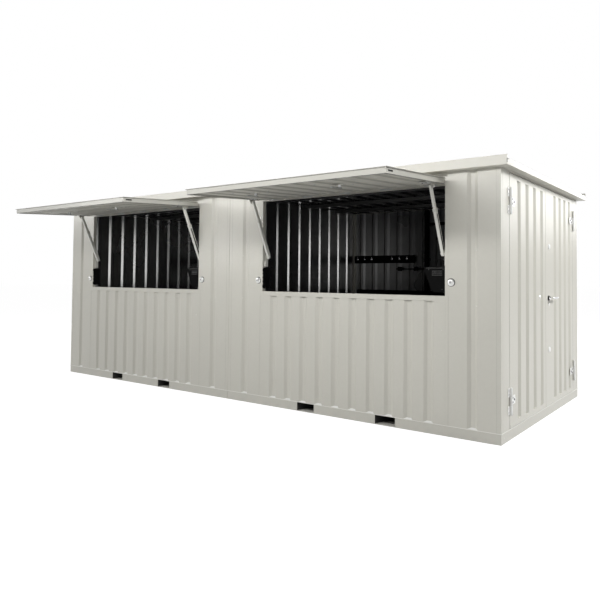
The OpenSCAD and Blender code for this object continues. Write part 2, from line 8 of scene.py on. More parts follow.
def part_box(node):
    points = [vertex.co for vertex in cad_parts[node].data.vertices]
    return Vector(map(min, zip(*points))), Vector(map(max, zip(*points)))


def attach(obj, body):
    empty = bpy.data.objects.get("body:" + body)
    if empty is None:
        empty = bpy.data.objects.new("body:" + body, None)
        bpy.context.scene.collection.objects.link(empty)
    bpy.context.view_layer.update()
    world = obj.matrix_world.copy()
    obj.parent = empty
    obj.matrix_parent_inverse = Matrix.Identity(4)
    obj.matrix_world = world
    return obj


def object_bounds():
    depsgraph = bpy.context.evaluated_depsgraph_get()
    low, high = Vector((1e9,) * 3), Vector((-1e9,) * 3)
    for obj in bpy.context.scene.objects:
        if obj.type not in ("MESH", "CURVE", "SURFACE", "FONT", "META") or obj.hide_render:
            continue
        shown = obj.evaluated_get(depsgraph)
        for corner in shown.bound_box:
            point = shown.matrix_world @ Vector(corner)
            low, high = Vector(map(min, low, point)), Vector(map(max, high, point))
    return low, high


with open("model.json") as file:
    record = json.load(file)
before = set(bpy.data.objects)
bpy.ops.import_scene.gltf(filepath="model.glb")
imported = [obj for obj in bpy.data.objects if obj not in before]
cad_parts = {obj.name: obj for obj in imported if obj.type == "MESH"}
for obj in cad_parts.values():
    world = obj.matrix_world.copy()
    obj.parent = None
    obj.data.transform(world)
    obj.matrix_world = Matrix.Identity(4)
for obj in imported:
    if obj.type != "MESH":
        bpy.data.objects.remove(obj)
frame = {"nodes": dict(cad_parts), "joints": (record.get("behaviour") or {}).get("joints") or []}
cad_lo, cad_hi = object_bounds()
NODES = frame["nodes"]
JOINTS = {joint["name"]: joint for joint in frame["joints"]}
BOTH = (-1, 1)
X = Vector((1, 0, 0))
Y = Vector((0, 1, 0))
Z = Vector((0, 0, 1))


# ---- node helpers ----

NOISE_LOW = 0.3         # nearly all values of a noise texture lie between these two
NOISE_HIGH = 0.7


def feed(socket, value):
    """Set a socket to a number, a vector, a colour or what another node gives."""
    if isinstance(value, bpy.types.NodeSocket):
        socket.id_data.links.new(value, socket)
    elif socket.type == "RGBA":
        socket.default_value = (*value, 1)
    else:
        socket.default_value = value


def set_inputs(node, **values):
    """Feed a node's inputs, which are named with _ for a space."""
    for name, value in values.items():
        feed(node.inputs[name.replace("_", " ")], value)


def add_node(near, kind, **values):
    """A new node in the tree that another node or socket belongs to."""
    node = near.id_data.nodes.new("ShaderNode" + kind)
    set_inputs(node, **values)
    return node


def first_node(owner, kind):
    """Clear the node tree of a material or world, and start it again with one node."""
    owner.use_nodes = True
    owner.node_tree.nodes.clear()
    return owner.node_tree.nodes.new("ShaderNode" + kind)


def new_material(name):
    mat = bpy.data.materials.new(name)
    shader = first_node(mat, "BsdfPrincipled")
    out = add_node(shader, "OutputMaterial", Surface=shader.outputs["BSDF"])
    return mat, shader, out


def grey(value):
    return (value, value, value)


def shifted(colour, factor):
    return tuple(min(1.0, part * factor) for part in colour)


def calculate(operation, *terms):
    """What a math node makes of its terms, the first of which comes from another node."""
    node = add_node(terms[0], "Math")
    node.operation = operation
    for socket, term in zip(node.inputs, terms):
        feed(socket, term)
    return node.outputs["Value"]


def object_coords(near, scale=(1, 1, 1)):
    place = add_node(near, "TexCoord").outputs["Object"]
    return add_node(near, "Mapping", Vector=place, Scale=scale).outputs["Vector"]


def face_direction(near, axis):
    """How far a face looks along one of the object's axes, from -1 to 1."""
    normal = add_node(near, "TexCoord").outputs["Normal"]
    return add_node(near, "SeparateXYZ", Vector=normal).outputs[axis]


def noise(vector, scale, detail):
    node = add_node(vector, "TexNoise", Vector=vector, Scale=scale, Detail=detail, Roughness=0.55)
    return node.outputs["Fac"]


def ramp(factor, low, low_colour, high, high_colour):
    """A colour that goes from one to another between two values of a factor."""
    node = add_node(factor, "ValToRGB", Fac=factor)
    for stop, place, colour in zip(node.color_ramp.elements, (low, high), (low_colour, high_colour)):
        stop.position = place
        stop.color = (*colour, 1)
    return node.outputs["Color"]


def drift(factor, colour, darkest=0.98, lightest=1.012):
    """A colour that wanders between two shades of itself, with a noise as its factor."""
    return ramp(factor, NOISE_LOW, shifted(colour, darkest), NOISE_HIGH, shifted(colour, lightest))


def specks(vector):
    return ramp(noise(vector, 38, 5), 0.35, grey(0.985), 0.6, grey(1.0))


def between(factor, low, high):
    """A noise stretched to run from low to high."""
    return add_node(factor, "MapRange", Value=factor, From_Min=NOISE_LOW, From_Max=NOISE_HIGH,
                    To_Min=low, To_Max=high).outputs["Result"]


def mixed(factor, a, b, kind="RGBA", blend="MIX"):
    """Two nodes' colours, or their numbers where kind is FLOAT, blended by a factor."""
    node = add_node(a, "Mix", Factor=factor)
    node.data_type = kind
    node.blend_type = blend
    first, out = {"RGBA": (6, 2), "FLOAT": (2, 0)}[kind]
    feed(node.inputs[first], a)
    feed(node.inputs[first + 1], b)
    return node.outputs[out]


def bump(height, strength, distance):
    node = add_node(height, "Bump", Height=height, Strength=strength, Distance=distance)
    return node.outputs["Normal"]


# ---- materials ----

def slow_noise(vector):
    """For a change of shade over a whole sheet."""
    return noise(vector, 1.3, 3)


def paint_roughness(factor, rough):
    return between(factor, rough - 0.03, rough + 0.04)


def orange_peel(vector):
    return bump(noise(vector, 420, 2), 0.06, 0.0006)


def paint(name, colour, rough):
    """Coil-coated sheet: slow drift of shade, fine specks and a faint orange peel."""
    mat, shader, _ = new_material(name)
    vector = object_coords(shader)
    broad = slow_noise(vector)
    shade = mixed(1.0, drift(broad, colour), specks(vector), blend="MULTIPLY")
    set_inputs(shader, Base_Color=shade, Roughness=paint_roughness(broad, rough), Normal=orange_peel(vector))
    return mat


def hatch_coat(name, below, crease_shade=1.0):
    """Paint of an open hatch: the wall's on the faces that look up, another shade on the rest, which is
    painted light and shade for how light falls on the faces that do not look up.

    Crease shade, a factor up to 1, darkens the slanting sides of the ribs: painted shade in the creases.
    """
    mat, shader, _ = new_material(name)
    vector = object_coords(shader)
    slant = calculate("ABSOLUTE", face_direction(shader, "X"))
    upward = calculate("GREATER_THAN", face_direction(shader, "Z"), 0.5)
    broad = slow_noise(vector)
    crease_darkening = ramp(slant, 0.12, grey(1.0), 0.4, grey(crease_shade))
    under = mixed(1.0, drift(broad, below), crease_darkening, blend="MULTIPLY")
    shade = mixed(upward, under, drift(broad, WALL))
    set_inputs(shader, Base_Color=shade, Roughness=paint_roughness(broad, 0.4), Normal=orange_peel(vector))
    return mat


def two_sided(name, outside, inside, axis, sign, rough_in=0.2, metal_in=0.7):
    """Sheet with paint on one side and a shinier coat on the other.

    The outside is the one whose faces look along the signed axis.
    """
    rough_out = 0.38
    edge_on = -0.05
    mat, shader, _ = new_material(name)
    vector = object_coords(shader)
    facing = calculate("MULTIPLY", face_direction(shader, axis), sign)
    outer = calculate("GREATER_THAN", facing, edge_on)
    broad = slow_noise(vector)
    both = mixed(outer, drift(broad, inside, 0.8, 1.2), drift(broad, outside))
    shade = mixed(1.0, both, specks(vector), blend="MULTIPLY")
    rough = mixed(outer, paint_roughness(broad, rough_in), paint_roughness(broad, rough_out), "FLOAT")
    metallic = calculate("MULTIPLY_ADD", outer, -metal_in, metal_in)
    set_inputs(shader, Base_Color=shade, Roughness=rough, Metallic=metallic, Normal=orange_peel(vector))
    return mat


def metal(name, colour, rough, strength=0.15):
    """Bare or plated metal with blotches and a fine grain that is short along z."""
    mat, shader, _ = new_material(name)
    grain = noise(object_coords(shader, (1, 1, 40)), 60, 6)
    blotch = noise(object_coords(shader), 22, 3)
    set_inputs(shader, Base_Color=drift(blotch, colour, 0.86, 1.06), Metallic=1.0,
               Roughness=between(grain, rough - 0.06, rough + 0.1), Normal=bump(grain, strength, 0.0004))
    return mat


def plastic(name, colour, rough, specular=0.5):
    """Plastic or rubber with blotches and a fine grain."""
    mat, shader, _ = new_material(name)
    vector = object_coords(shader)
    blotch = noise(vector, 6, 4)
    patch = noise(vector, 60, 4)
    grain = noise(vector, 900, 2)
    set_inputs(shader, Base_Color=drift(blotch, colour, 0.8, 1.25), Specular_IOR_Level=specular,
               Roughness=between(patch, rough - 0.06, rough + 0.08), Normal=bump(grain, 0.3, 0.0005))
    return mat


WALL = (0.6, 0.588, 0.53)
# Near-black inside of the front walls, the door and the roof: painted shade of the unlit room, under a real
# shiny coat.
INNER = grey(0.1)
PAINTS = {      # colour and roughness
    "wall": (WALL, 0.38),
    "hatch": ((0.7, 0.685, 0.62), 0.42),
    "base": ((0.585, 0.573, 0.518), 0.4),
    "trim": ((0.66, 0.65, 0.6), 0.35),
    # Near-black floor plates: painted shade of the unlit room.
    "floor": (grey(0.02), 0.4),
    # Near-black: painted shade inside the fork tunnels and under the ceiling; on the lock boxes' ribs it is
    # their own dark colour.
    "joist": ((0.05, 0.05, 0.048), 0.5),
    "edge": ((0.26, 0.255, 0.235), 0.45),
    # Lighter than the wall: a painted highlight on the rail lips and the hatch rib beads.
    "lip": ((0.78, 0.775, 0.73), 0.3),
    "hinge": ((0.86, 0.86, 0.84), 0.3),
    "rivet": ((0.7, 0.69, 0.64), 0.3),
    # Lighter than the wall: painted light on the stays, which stand in the hatches' shade.
    "stay": ((0.76, 0.752, 0.7), 0.3),
    "bead": ((0.5, 0.49, 0.44), 0.5),
}
MATERIALS = {
    "front": two_sided("front_sheet", WALL, INNER, "Y", -1),
    # The rear walls' inside is near-black too: painted shade of the unlit room.
    "rear": two_sided("rear_sheet", WALL, grey(0.13), "Y", 1, rough_in=0.3),
    "left_end": two_sided("left_end_sheet", WALL, (0.55, 0.55, 0.54), "X", -1, rough_in=0.25, metal_in=0.95),
    "door": two_sided("door_sheet", WALL, INNER, "X", 1),
    "roof": two_sided("roof_sheet", (0.5, 0.49, 0.45), INNER, "Z", 1),
    # The sheet's underside is painted lighter than the wall as painted light, and its rib flanks darker as
    # painted shade.
    "hatch_sheet": hatch_coat("hatch_sheet_paint", (0.75, 0.735, 0.665), 0.66),
    # The rim's faces that do not look up are painted dark: painted shade.
    "hatch_rim": hatch_coat("hatch_rim_paint", (0.46, 0.452, 0.408)),
    # The lip strips' edges and undersides are painted dark: painted shade.
    "lip_edge": hatch_coat("lip_edge_paint", (0.42, 0.413, 0.375)),
    "inner": metal("inner_paint", (0.6, 0.6, 0.59), 0.24, strength=0.02),
    "zinc": metal("zinc", (0.55, 0.56, 0.56), 0.42),
    "bright": metal("bright_steel", (0.72, 0.73, 0.74), 0.28),
    "chrome": metal("chrome", (0.86, 0.86, 0.87), 0.12, strength=0.03),
    "satin": metal("satin_chrome", (0.8, 0.8, 0.79), 0.34, strength=0.03),
    "bolt": metal("dark_bolt", (0.16, 0.16, 0.165), 0.38),
    "seal": plastic("seal_rubber", (0.1, 0.1, 0.095), 0.6),
    "black": plastic("black_plastic", grey(0.007), 0.8, specular=0.02),
    "white": plastic("white_plastic", (0.93, 0.93, 0.92), 0.35),
    # Near-black for the insides of slots, gaps and key holes: painted shade.
    "hole": plastic("dark_hole", grey(0.006), 0.8),
}
MATERIALS.update({look: paint(look + "_paint", *values) for look, values in PAINTS.items()})


def pair(name):
    return name + "_left", name + "_right"


NODES_OF_LOOK = {
    "base": ("long_rails", "end_rails"),
    "floor": ("floor_plates",),
    "joist": ("floor_joists",),
    "wall": ("corner_posts", "seam_strips", *pair("window_frame"), "rear_fascia", "end_flanges"),
    "front": ("front_sides", *pair("front_apron"), "front_headers"),
    "rear": pair("rear_wall"),
    "left_end": ("left_end_wall",),
    "inner": ("middle_wall",),
    "roof": pair("roof"),
    # The fascias take the lighter hatch paint: painted light from above.
    "hatch": pair("front_fascia"),
    "trim": ("drip_strips", "stay_brackets"),
    "zinc": ("hatch_hinges",),
    "hatch_rim": pair("hatch_frame"),
    "hatch_sheet": pair("hatch_sheet"),
    "stay": (*pair("stay_tubes"), *pair("stay_rods")),
    "satin": ("latch_knobs",),
    "black": ("lock_boxes", "hook_rails", "handle_plate"),
    "door": ("door_jambs", "door_header", "door_leaf_front", "door_leaf_rear"),
    "hinge": ("door_hinges", "hinge_straps_front", "hinge_straps_rear"),
    "chrome": ("door_handle",),
}

SHEET_BEVEL = 0.0012
BEVELS = {
    "latch_knobs": 0.0006, "door_handle": 0.003, "handle_plate": 0.001, "hook_rails": 0.002,
    "lock_boxes": 0.004, "seam_strips": 0.0003, "hatch_hinges": 0.0005, "door_hinges": 0.0007,
    "hinge_straps_front": 0.0007, "hinge_straps_rear": 0.0007, "long_rails": 0.0018, "end_rails": 0.0018,
}


def add_bevel(obj, width, least_angle):
    """Round the edges that bend by more than an angle in degrees."""
    bevel = obj.modifiers.new("bevel", "BEVEL")
    bevel.width = width
    bevel.segments = 2
    bevel.limit_method = "ANGLE"
    bevel.angle_limit = math.radians(least_angle)
    return bevel


def dress_cad():
    """Give every CAD node its material and slightly rounded edges."""
    for look, names in NODES_OF_LOOK.items():
        for name in names:
            obj = NODES[name]
            obj.data.materials.clear()
            obj.data.materials.append(MATERIALS[look])
            weld = obj.modifiers.new("weld", "WELD")
            weld.merge_threshold = 0.00002
            add_bevel(obj, BEVELS.get(name, SHEET_BEVEL), 25).harden_normals = True


# ---- building pieces ----

SINK = 0.0005       # how far most fittings reach into what carries them

# Turned shapes: distance along the axis and radius, from the seat outwards.
CORNER_PIN = ((-SINK, 0.008), (0.0016, 0.008), (0.0028, 0.006), (0.003, 0.001))
LATCH_PIN = ((-0.001, 0.015), (0.02, 0.013), (0.028, 0.012), (0.031, 0.003))
ROD_WASHER = ((-SINK, 0.0105), (0.0007, 0.0105), (0.0007, 0.0055), (-SINK, 0.0055))
ROOF_WASHER = ((-SINK, 0.0085), (0.0016, 0.0085), (0.0022, 0.0072))
ROOF_SCREW = ((0, 0.0048), (0.0038, 0.0048), (0.0046, 0.004))
PIN_HEAD = ((-0.001, 0.0095), (0.003, 0.0095), (0.006, 0.006), (0.0065, 0.001))
STRAP_BOLT = ((-SINK, 0.0085), (0.0035, 0.0085), (0.005, 0.006), (0.0051, 0.001))
DOOR_STUD = ((-0.001, 0.027), (0.003, 0.027), (0.008, 0.024), (0.0105, 0.014), (0.011, 0.001))
LOCK_CYLINDER = ((-0.001, 0.012), (0.006, 0.012), (0.008, 0.01), (0.0085, 0.001))
PLATE_SCREW = ((-0.001, 0.006), (0.003, 0.006), (0.004, 0.001))
BOLT_KNOB = ((-0.001, 0.011), (0.004, 0.011), (0.008, 0.007), (0.0085, 0.001))
LEVER_NECK = ((0, 0.0125), (0.006, 0.0125), (0.01, 0.0105), (0.016, 0.0098), (0.017, 0.0092))
LEVER_BOSS = ((0, 0.0115), (0.004, 0.0122), (0.0135, 0.0122), (0.0155, 0.01), (0.016, 0.001))
LEVER_TIP = ((0, 0.0098), (0.004, 0.0092), (0.008, 0.006), (0.009, 0.001))
HOOK_BALL = ((0, 0.0125), (0.003, 0.016), (0.01, 0.018), (0.017, 0.016), (0.022, 0.01), (0.024, 0.001))
HOOK_HORN = ((0, 0.006), (0.03, 0.0055), (0.034, 0.003))


def across(axis):
    """Two directions square to an axis and to each other."""
    ahead = Vector(axis).normalized()
    helper = Z if abs(ahead.z) < 0.9 else X
    first = ahead.cross(helper).normalized()
    return first, ahead.cross(first)


def add_object(name, data):
    obj = bpy.data.objects.new(name, data)
    bpy.context.scene.collection.objects.link(obj)
    return obj


class Piece:
    """Blocks, turned parts and extruded outlines joined into one mesh, drawn in its own frame."""

    def __init__(self, place=None):
        self.bm = bmesh.new()
        self.place = place or Matrix.Identity(4)

    def add(self, points, faces):
        verts = [self.bm.verts.new(self.place @ Vector(point)) for point in points]
        for face in faces:
            self.bm.faces.new([verts[i] for i in face])

    def block(self, corner, opposite):
        lo = [min(ends) for ends in zip(corner, opposite)]
        hi = [max(ends) for ends in zip(corner, opposite)]
        points = [(x, y, z) for x in (lo[0], hi[0]) for y in (lo[1], hi[1]) for z in (lo[2], hi[2])]
        faces = [(0, 1, 3, 2), (4, 6, 7, 5), (0, 4, 5, 1), (2, 3, 7, 6), (0, 2, 6, 4), (1, 5, 7, 3)]
        self.add(points, faces)

    def loft(self, rings):
        """A closed skin over rings that have the same number of points."""
        n = len(rings[0])
        faces = [tuple(reversed(range(n))), tuple(n * (len(rings) - 1) + i for i in range(n))]
        for k in range(len(rings) - 1):
            for i in range(n):
                j = (i + 1) % n
                faces.append((k * n + i, k * n + j, (k + 1) * n + j, (k + 1) * n + i))
        self.add([point for ring in rings for point in ring], faces)

    def prism(self, outline, axis, start, stop):
        """An outline in the two other axes, in their order, extruded along axis."""
        k = "xyz".index(axis)
        self.loft([[(*point[:k], level, *point[k:]) for point in outline] for level in (start, stop)])

    def turned(self, at, axis, profile, steps=20):
        """A turned part, from its (distance along the axis, radius) pairs."""
        u, v = across(axis)
        ahead = Vector(axis).normalized()
        angles = [2 * math.pi * i / steps for i in range(steps)]
        self.loft([[Vector(at) + ahead * d + (u * math.cos(t) + v * math.sin(t)) * r for t in angles]
                   for d, r in profile])

    def rivet(self, at, axis, r):
        """A domed head with a thin brim."""
        dome = ((r * 0.22, r), (r * 0.45, r * 0.78), (r * 0.6, r * 0.4), (r * 0.64, r * 0.08))
        self.turned(at, axis, ((-SINK, r), *dome), 14)

    def hex_bolt(self, at, axis, r, washer=1.7):
        """A six-sided head on a washer, whose radius is a multiple of the head's."""
        self.turned(at, axis, ((-SINK, r * washer), (r * 0.2, r * washer)), 24)
        self.turned(at, axis, ((r * 0.2, r), (r * 0.8, r), (r * 0.92, r * 0.86)), 6)

    def done(self, name, look, body="root", bevel=0.0006):
        """Turn what was gathered into an object of the scene that moves with a body."""
        bmesh.ops.recalc_face_normals(self.bm, faces=self.bm.faces)
        mesh = bpy.data.meshes.new(name)
        self.bm.to_mesh(mesh)
        self.bm.free()
        for face in mesh.polygons:
            face.use_smooth = True
        mesh.set_sharp_from_angle(angle=math.radians(32))
        mesh.materials.append(MATERIALS[look])
        obj = add_object(name, mesh)
        if bevel:
            add_bevel(obj, bevel, 40)
        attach(obj, body)


# ---- places read from the frame ----

def pivot(joint):
    return Vector(JOINTS[joint]["pos_m"])


def tilted(joint, up):
    """Frame on a joint's pivot, turned about x until its z runs along a direction."""
    return Matrix.Translation(pivot(joint)) @ Matrix.Rotation(math.atan2(-up.y, up.z), 4, "X")


def hatch_place(side):
    """Frame of an open hatch: origin in the middle of its hinge axis, -y towards the free edge."""
    mesh = NODES["hatch_sheet_" + side].data
    flat = max((p for p in mesh.polygons if abs(p.normal.z) > 0.9), key=lambda p: p.area)
    return tilted("hatch_%s_swing" % side, flat.normal if flat.normal.z > 0 else -flat.normal)


def stay_place(side):
    """Frame of the open stays: origin on the lower pivots, +z along the rods."""
    return tilted("stays_%s_swing" % side, Vector(JOINTS["stays_%s_slide" % side]["axis"]))


def points_in(node, place):
    """A CAD node's points in a frame."""
    back = place.inverted()
    return [back @ v.co for v in NODES[node].data.vertices]


def corner_in(node, place, pick=max):
    """The highest, or lowest, coordinates of a CAD node in a frame."""
    points = points_in(node, place)
    return Vector([pick(point[k] for point in points) for k in range(3)])


def clusters(values, gap):
    """Middles of groups of nearby values."""
    groups = []
    for value in sorted(values):
        if groups and value - groups[-1][-1] < gap:
            groups[-1].append(value)
        else:
            groups.append([value])
    return [(group[0] + group[-1]) / 2 for group in groups]


module_mid = pivot("hatch_right_swing").x
MODULE_X = {"left": -module_mid, "right": module_mid}
front_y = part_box("front_headers")[0].y
rear_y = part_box("rear_wall_right")[1].y
end_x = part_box("door_jambs")[1].x
LONG_WALLS = ((-1, front_y), (1, rear_y))       # the way out, and where the outer face is
END_WALLS = ((-1, -end_x), (1, end_x))
floor_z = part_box("floor_plates")[1].z
roof_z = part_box("front_headers")[1].z
sill_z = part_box("front_apron_right")[1].z
box_lo, box_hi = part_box("lock_boxes")
window_half = box_hi.x - module_mid
door_half = abs(pivot("door_front_swing").y)


# ---- walls ----

def wall_rivets():
    """Painted rivets beside the corner grooves, front and rear, and under the windows."""
    radius = 0.0065
    from_end = 0.205
    from_window_side = 0.03
    upper = (floor_z + 1.0, floor_z + 1.45)
    lower = floor_z + 0.79
    rivets = Piece()
    for module_x in MODULE_X.values():
        for hand in BOTH:
            x = module_x + hand * (end_x - module_mid - from_end)
            for z in upper:
                rivets.rivet((x, front_y, z), -Y, radius)
                rivets.rivet((x, rear_y, z), Y, radius)
            x = module_x + hand * (window_half - from_window_side)
            rivets.rivet((x, front_y, lower), -Y, radius)
    rivets.done("wall_rivets", "rivet", bevel=0)


def sheet_seams():
    """Thin sealing beads where the wall sheets meet the corner posts and the window frames."""
    half = 0.0014
    proud = 0.0006
    sunk = 0.001
    post_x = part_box("front_sides")[1].x
    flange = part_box("window_frame_right")[1].x - module_mid
    beads = Piece()
    for module_x in MODULE_X.values():
        for hand in BOTH:
            x = module_x + hand * (post_x - module_mid)
            for out, y in LONG_WALLS:
                beads.block((x - half, y + out * proud, floor_z), (x + half, y - out * sunk, roof_z))
            x = module_x + hand * (flange + half)
            beads.block((x - half, front_y - proud * 2, floor_z), (x + half, front_y + SINK, sill_z))
    for out_y, y in LONG_WALLS:
        for out, x in END_WALLS:
            seam = y - out_y * (end_x - post_x)
            beads.block((x - out * sunk, seam - half, floor_z), (x + out * proud, seam + half, roof_z))
    beads.done("sheet_seams", "bead", bevel=0)


def base_bolts():
    """Bolts that join the two base frames at the rear, and round pins at the rails' corners."""
    from_joint = 0.07
    from_corner = 0.06
    z = floor_z * 0.5
    bolts = Piece()
    for x in (-from_joint, from_joint):
        bolts.hex_bolt((x, rear_y, z), Y, 0.009)
    for out, x in END_WALLS:
        for y in (front_y + from_corner, rear_y - from_corner):
            bolts.turned((x, y, z), (out, 0, 0), CORNER_PIN, 16)
    bolts.done("base_bolts", "rivet", bevel=0.0003)


def rail_lips():
    """A narrow rounded lip along the top edge of the base rails, proud of the wall sheets, in a lighter paint
    that is a painted highlight.
    """
    low = floor_z - 0.0055
    high = floor_z + 0.0005
    proud = 0.0028
    sunk = 0.001
    section = ((-sunk, low), (proud * 0.6, low), (proud, low + 0.0015), (proud, high - 0.0018),
               (proud * 0.5, high), (-sunk, high))
    lips = Piece()
    for out, y in LONG_WALLS:
        lips.prism([(y + out * reach, z) for reach, z in section], "x", -end_x, end_x)
    for out, x in END_WALLS:
        lips.block((x - out * sunk, front_y - proud, low), (x + out * proud, rear_y + proud, high))
    lips.done("rail_lips", "lip")


def groove_floors(node, y):
    """Depth of a pressed wall's grooves, and the span in x of each groove's floor at its foot."""
    feet = [v.co for v in NODES[node].data.vertices if abs(v.co.z - floor_z) < 0.0008]
    depth = clusters([abs(point.y - y) for point in feet], 0.001)[2]
    edges = clusters([point.x for point in feet if abs(abs(point.y - y) - depth) < 0.0006], 0.001)
    return depth, [(a, b) for a, b in zip(edges[::2], edges[1::2]) if 0.02 < b - a < 0.08]


def groove_toes():
    """Sloping wedges that close the grooves' feet on top of the base rails, in near-white paint: a painted
    highlight where the rail tops catch the light.
    """
    slant = 0.027
    into_sheet = 0.0003
    heights = (0.002, 0.002, 0.012, 0.012)      # at the two front corners, then at the back ones
    toes = Piece()
    walls = (("front_apron_left", "front_apron_right", "front_sides"), ("rear_wall_left", "rear_wall_right"))
    for (out, y), sheets in zip(LONG_WALLS, walls):
        for node in sheets:
            depth, floors = groove_floors(node, y)
            back = y - out * (depth - into_sheet)
            for a, b in floors:
                foot = ((a - slant, y), (b + slant, y), (b, back), (a, back))
                tops = [(*corner, floor_z + height) for corner, height in zip(foot, heights)]
                toes.loft([[(*corner, floor_z) for corner in foot], tops])
    toes.done("groove_toes", "hinge", bevel=0)


def pocket_light_pools():
    """Light plates on the floors of the fork tunnels, pointed towards the middle: a painted pool of daylight
    that reaches in from each mouth.
    """
    half = 0.097
    shoulder = half * 0.86
    from_mouth = 0.012
    tunnel_shift = 0.45
    plate_z = 0.0042
    plates = Piece()
    for shift in (-tunnel_shift, tunnel_shift):
        for module_x in MODULE_X.values():
            x = module_x + shift
            for out in BOTH:
                y = out * (rear_y - from_mouth)
                inner = y - out * 0.1
                outline = ((x - half, y), (x + half, y), (x + shoulder, inner), (x, y - out * 0.15),
                           (x - shoulder, inner))
                plates.prism(outline, "z", plate_z - 0.0006, plate_z + 0.0008)
    plates.done("pocket_light_pools", "trim", bevel=0)


# ---- windows ----

def knob_details(side):
    """Rubber ring, key plate and key slot of the two latch knobs of a window."""
    lo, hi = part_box("latch_knobs")
    radius = (hi.z - lo.z) / 2
    z = (lo.z + hi.z) / 2
    ring = ((-SINK, 1.12), (0.0022, 1.12), (0.003, 1.0), (0.003, 0.7), (-SINK, 0.7))
    plate = ((-SINK, radius * 0.52), (0.0022, radius * 0.5), (0.003, radius * 0.42), (0.0031, 0.001))
    rings = Piece()
    plates = Piece()
    keyholes = Piece()
    for hand in BOTH:
        x = MODULE_X[side] + hand * (hi.x - module_mid - radius)
        rings.turned((x, front_y, z), -Y, [(d, radius * share) for d, share in ring], 32)
        plates.turned((x, lo.y, z), -Y, plate, 32)
        # The key hole and slot are near-black marks: painted shade of the hole.
        hole = radius * 0.2
        keyholes.turned((x, lo.y - 0.003, z + radius * 0.12), -Y, ((-SINK, hole), (0.0006, hole)), 16)
        half = radius * 0.09
        keyholes.block((x - half, lo.y - 0.0036, z - radius * 0.36),
                       (x + half, lo.y - 0.0025, z + radius * 0.1))
    rings.done("knob_rings_" + side, "black", bevel=0)
    plates.done("knob_faces_" + side, "satin", bevel=0.0002)
    keyholes.done("knob_keyholes_" + side, "hole", bevel=0)


def lock_box_ribs(side):
    """Vent ribs, cover seam and screws of the lock box on a window's right jamb."""
    top = box_hi.z
    face = box_lo.y
    right = box_hi.x + (MODULE_X[side] - module_mid)
    sunk = 0.001
    ribs = Piece()
    for k in range(3):
        z = top - 0.038 - k * 0.017
        ribs.block((right - 0.125, face - 0.0028, z), (right - 0.03, face + sunk, z + 0.005))
    ribs.block((right - 0.185, face - 0.002, top - 0.012), (right - 0.004, face + sunk, top - 0.008))
    for inset, z in ((0.155, top - 0.022), (0.02, top - 0.022), (0.03, box_lo.z + 0.025)):
        ribs.rivet((right - inset, face, z), -Y, 0.004)
    ribs.done("lock_box_ribs_" + side, "joist")


def catch_teeth(side):
    """Teeth and screws of the catch plate on a window's left jamb."""
    top = box_hi.z
    low = box_lo.z
    jamb_x = MODULE_X[side] - window_half
    edge = box_lo.y - 0.002
    teeth = Piece()
    for k, height in enumerate((0.03, 0.016, 0.016, 0.016, 0.034)):
        z = top - 0.01 - k * (top - low - 0.05) / 4 - height
        outline = ((edge, z), (edge - 0.01, z + 0.003), (edge - 0.01, z + height - 0.003),
                   (edge, z + height), (edge + 0.004, z + height), (edge + 0.004, z))
        teeth.prism(outline, "x", jamb_x + 0.002, jamb_x + 0.013)
    for z in (low + 0.03, (low + top) / 2, top - 0.03):
        teeth.hex_bolt((jamb_x + 0.0138, (box_lo.y + box_hi.y) / 2, z), X, 0.006)
    teeth.done("catch_teeth_" + side, "black")


# ---- hatches ----

RIM_HALF = 0.022        # half the depth of a hatch's rim
RIM_BACK = -0.02        # where the trims end, short of the hinge
LEVER = ((-0.009, -0.12), (0.009, -0.12), (0.012, 0), (0.007, 0.025), (-0.007, 0.025), (-0.012, 0))
RIB_BEAD = ((-0.006, 0.0004), (-0.004, -0.0018), (0.004, -0.0018), (0.006, 0.0004))


def hatch_frame(side):
    """Frame of a hatch, half its width and its free edge."""
    place = hatch_place(side)
    node = "hatch_frame_" + side
    return place, corner_in(node, place).x, corner_in(node, place, min).y


def hatch_lip(side, place, half, free):
    """Flat strips along three sides of a hatch's outer face, wider than its rim; their edges and undersides
    are painted dark as painted shade.
    """
    over = 0.014
    ahead = 0.008
    wide = 0.03
    low = RIM_HALF - SINK
    high = RIM_HALF + 0.0045
    strips = Piece(place)
    strips.block((-half - over, free - ahead, low), (half + over, free + wide, high))
    for hand in BOTH:
        strips.block((hand * (half + over), free + wide, low), (hand * (half - wide), RIM_BACK, high))
    strips.done("hatch_lip_" + side, "lip_edge", "hatch_" + side, 0.0012)


def hatch_seal(side, place, half, free):
    """Rubber along the free edge and the sides of a hatch's underside."""
    width = 0.0045
    inset = 0.001
    top = -RIM_HALF + 0.0003
    rubber = Piece(place)
    rubber.block((-half + inset, free + inset, -RIM_HALF - 0.004),
                 (half - inset, free + inset + width, top))
    for hand in BOTH:
        rubber.block((hand * (half - 0.0002), free + 0.002 + width, -RIM_HALF - 0.003),
                     (hand * (half - width), RIM_BACK, top))
    rubber.done("hatch_seal_" + side, "seal", "hatch_" + side, 0.0015)


